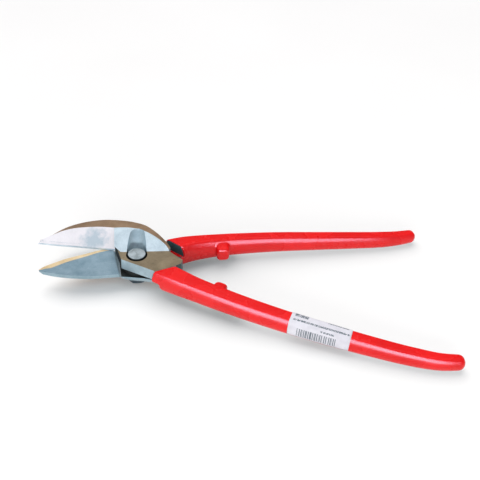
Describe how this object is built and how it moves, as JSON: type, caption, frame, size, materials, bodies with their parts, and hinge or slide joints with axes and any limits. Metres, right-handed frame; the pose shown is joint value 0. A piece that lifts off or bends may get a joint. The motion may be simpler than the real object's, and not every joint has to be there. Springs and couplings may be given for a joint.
{
  "type": "single_pivot_forged_tin_snips",
  "caption": "Red-handled forged tin snips, 280 mm, with laid-on blades, one pivot bolt and dipped grips, shown half open",
  "frame": {"origin": "on the pivot axis, in the plane that the head rests on", "axes": "blades along -X, handles along +X, pivot axis along +Z out of the bolt head"},
  "size_m": [0.2835, 0.1356, 0.0261],
  "materials": {
    "forged_steel": "ground and satin-finished forged steel",
    "blade_steel": "ground high-speed steel",
    "red_dip": "glossy red dipped plastic",
    "bolt_steel": "turned steel",
    "label_paper": "white paper sticker"
  },
  "bodies": {
    "lower": {"lower_half": "forged_steel", "lower_blade": "blade_steel", "lower_grip": "red_dip", "pivot_bolt": "bolt_steel", "spring_washer": "bolt_steel", "pivot_nut": "bolt_steel"},
    "upper": {"upper_half": "forged_steel", "upper_blade": "blade_steel", "upper_grip": "red_dip", "price_label": "label_paper"}
  },
  "joints": [
    {"name": "pivot", "type": "hinge", "parent": "lower", "child": "upper", "pos_m": [0, 0, 0.013], "axis": [0, 0, 1], "range_deg": [-12, 24]}
  ]
}
